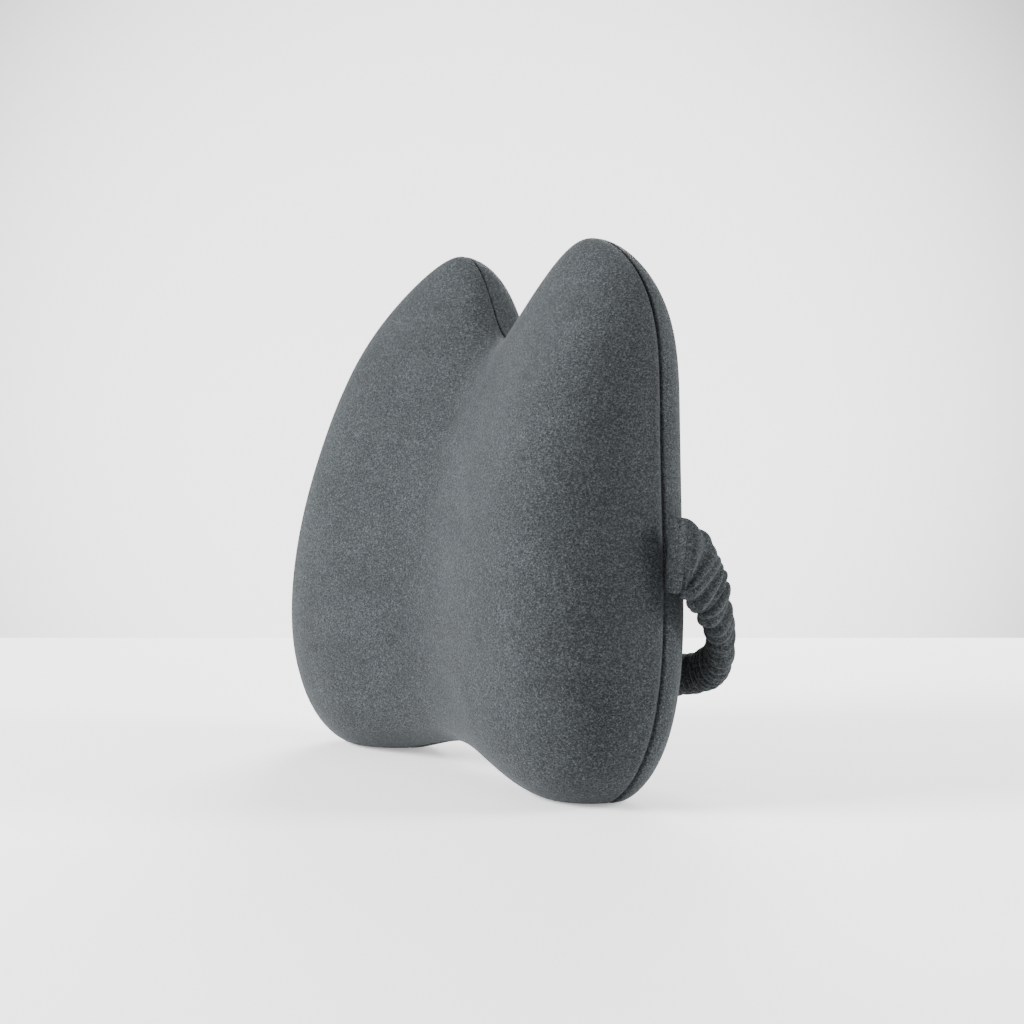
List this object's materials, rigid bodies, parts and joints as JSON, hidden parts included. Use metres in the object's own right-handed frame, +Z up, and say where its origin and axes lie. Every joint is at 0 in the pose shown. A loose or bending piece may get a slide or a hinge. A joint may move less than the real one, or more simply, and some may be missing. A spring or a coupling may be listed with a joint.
{
  "type": "lumbar support cushion",
  "caption": "Contoured foam back-support cushion with two ridges, a spine channel, a zipped knit cover and an elastic strap that holds it to a chair.",
  "frame": {"origin": "on the resting surface, under the middle of the whole object's box, the strap included", "axes": "+Z up; +X to the cushion's left-hand side as the sitter leans on it, seen from the front it is to the right; -Y towards the sitter, +Y towards the chair's back"},
  "size_m": [0.399, 0.156, 0.3433],
  "materials": {
    "cover_knit": "heathered charcoal knit",
    "strap_fabric": "gathered dark knit",
    "foam": "moulded open-cell foam",
    "liner": "thin off-white jersey",
    "elastic": "woven elastic",
    "thread": "polyester thread",
    "zip_tape": "woven tape",
    "zip_teeth": "moulded",
    "zip_metal": "dark nickel",
    "label": "blank satin"
  },
  "bodies": {
    "cushion": {"foam_core": "foam", "liner_front": "liner", "liner_rear": "liner", "cover_front_panel": "cover_knit", "cover_rear_upper": "cover_knit", "cover_rear_lower": "cover_knit", "side_seam_thread": "thread", "zip_tape_upper": "zip_tape", "zip_tape_lower": "zip_tape", "zip_teeth_upper": "zip_teeth", "zip_teeth_lower": "zip_teeth", "zip_end_stops": "zip_metal", "strap_tab_right": "strap_fabric", "strap_tab_left": "strap_fabric", "strap_tab_stitching": "thread", "care_label": "label"},
    "strap": {"strap_sleeve_right": "strap_fabric", "strap_sleeve_left": "strap_fabric", "strap_elastic_right": "elastic", "strap_elastic_left": "elastic"},
    "strap_middle": {"strap_sleeve_middle": "strap_fabric", "strap_elastic_middle": "elastic"},
    "zip_slider": {"zip_slider": "zip_metal"},
    "zip_pull": {"zip_pull_tab": "zip_metal"}
  },
  "joints": [
    {"name": "strap_swing", "type": "hinge", "parent": "cushion", "child": "strap", "pos_m": [0, 0.00013, 0.151], "axis": [1, 0, 0], "range_deg": [-15, 90], "stiffness_Nm_per_rad": 0.08, "springref_deg": 2.29},
    {"name": "strap_stretch", "type": "slide", "parent": "strap", "child": "strap_middle", "axis": [0, 1, 0], "range_m": [0, 0.08], "stiffness_N_per_m": 150, "deforming": ["strap_sleeve_right", "strap_sleeve_left", "strap_elastic_right", "strap_elastic_left"]},
    {"name": "zip_slide", "type": "slide", "parent": "cushion", "child": "zip_slider", "axis": [-1, 0, 0], "range_m": [0, 0.22]},
    {"name": "zip_pull_flip", "type": "hinge", "parent": "zip_slider", "child": "zip_pull", "pos_m": [0.11, 0.04423, 0.19157], "axis": [0, -0.1045, -0.9945], "range_deg": [0, 170]}
  ]
}
